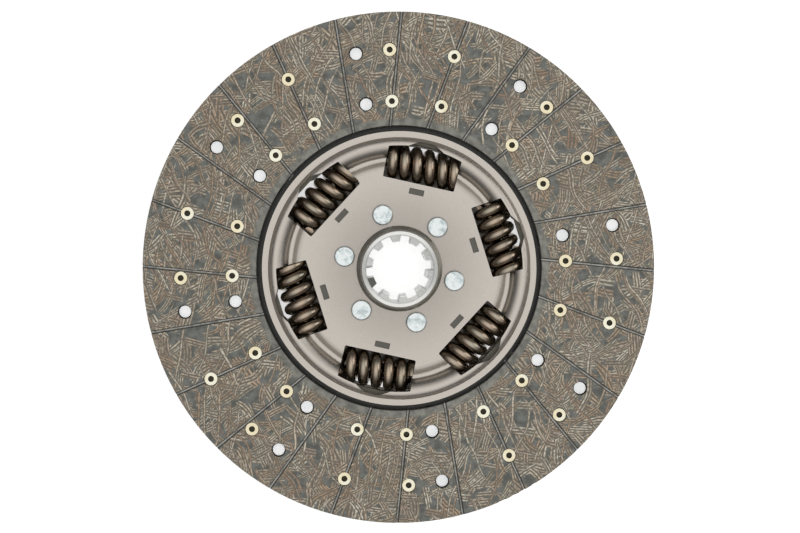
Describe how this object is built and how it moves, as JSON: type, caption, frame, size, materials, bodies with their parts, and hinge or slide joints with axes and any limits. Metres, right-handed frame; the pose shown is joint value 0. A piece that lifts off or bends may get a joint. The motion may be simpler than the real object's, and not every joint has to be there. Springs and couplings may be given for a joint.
{
  "type": "clutch disc",
  "caption": "Round clutch disc with two friction rings on spring-steel cushion segments, coil-spring torsion damper and splined hub.",
  "frame": {"origin": "on the spline's axis, midway between the two friction faces", "axes": "+Z along the axis towards the front, the side where the hub stands out less; +X and +Y in the plane of the disc as the picture shows it"},
  "size_m": [0.43, 0.43, 0.052],
  "materials": {
    "facing": "organic wound-yarn friction compound, satin-ground",
    "plate_steel": "pressed steel, phosphated, warm pinkish grey satin",
    "carrier_steel": "dark oiled steel",
    "segment_steel": "blue-black hardened spring steel",
    "hub_forging": "forged steel, machined end face and spline",
    "zinc_rivet": "bright bluish zinc plating",
    "brass_rivet": "pale brass plating",
    "spring_steel": "dark bronze-black oil-quenched wire",
    "friction_ring": "dark grey phosphated steel"
  },
  "bodies": {
    "hub_assembly": {"hub": "hub_forging", "front_guide_plate": "plate_steel", "rear_guide_plate": "plate_steel", "hub_rivets": "zinc_rivet", "front_friction_ring": "friction_ring", "rear_friction_ring": "friction_ring", "cone_washer": "friction_ring"},
    "friction_disc": {"carrier_plate": "carrier_steel", "segment_rivets": "zinc_rivet", "front_facing": "facing", "rear_facing": "facing", "front_facing_rivets": "brass_rivet", "rear_facing_rivets": "zinc_rivet", "cushion_segment_1": "segment_steel", "cushion_segment_2": "segment_steel", "cushion_segment_3": "segment_steel", "cushion_segment_4": "segment_steel", "cushion_segment_5": "segment_steel", "cushion_segment_6": "segment_steel", "cushion_segment_7": "segment_steel", "cushion_segment_8": "segment_steel"},
    "springs": {"outer_spring_1": "spring_steel", "outer_spring_2": "spring_steel", "outer_spring_3": "spring_steel", "outer_spring_4": "spring_steel", "outer_spring_5": "spring_steel", "outer_spring_6": "spring_steel", "inner_spring_1": "spring_steel", "inner_spring_2": "spring_steel", "inner_spring_3": "spring_steel", "inner_spring_4": "spring_steel", "inner_spring_5": "spring_steel", "inner_spring_6": "spring_steel"}
  },
  "joints": [
    {"name": "damper_twist", "type": "hinge", "parent": "hub_assembly", "child": "friction_disc", "pos_m": [0, 0, 0], "axis": [0, 0, 1], "range_deg": [-5, 5], "stiffness_Nm_per_rad": 3000, "deforming": ["outer_spring_1", "outer_spring_2", "outer_spring_3", "outer_spring_4", "outer_spring_5", "outer_spring_6", "inner_spring_1", "inner_spring_2", "inner_spring_3", "inner_spring_4", "inner_spring_5", "inner_spring_6"]},
    {"name": "spring_follow", "type": "hinge", "parent": "hub_assembly", "child": "springs", "pos_m": [0, 0, 0], "axis": [0, 0, 1], "range_deg": [-2.5, 2.5]}
  ],
  "couplings": [
    {"joint": "spring_follow", "follows": "damper_twist", "ratio": 0.5}
  ]
}
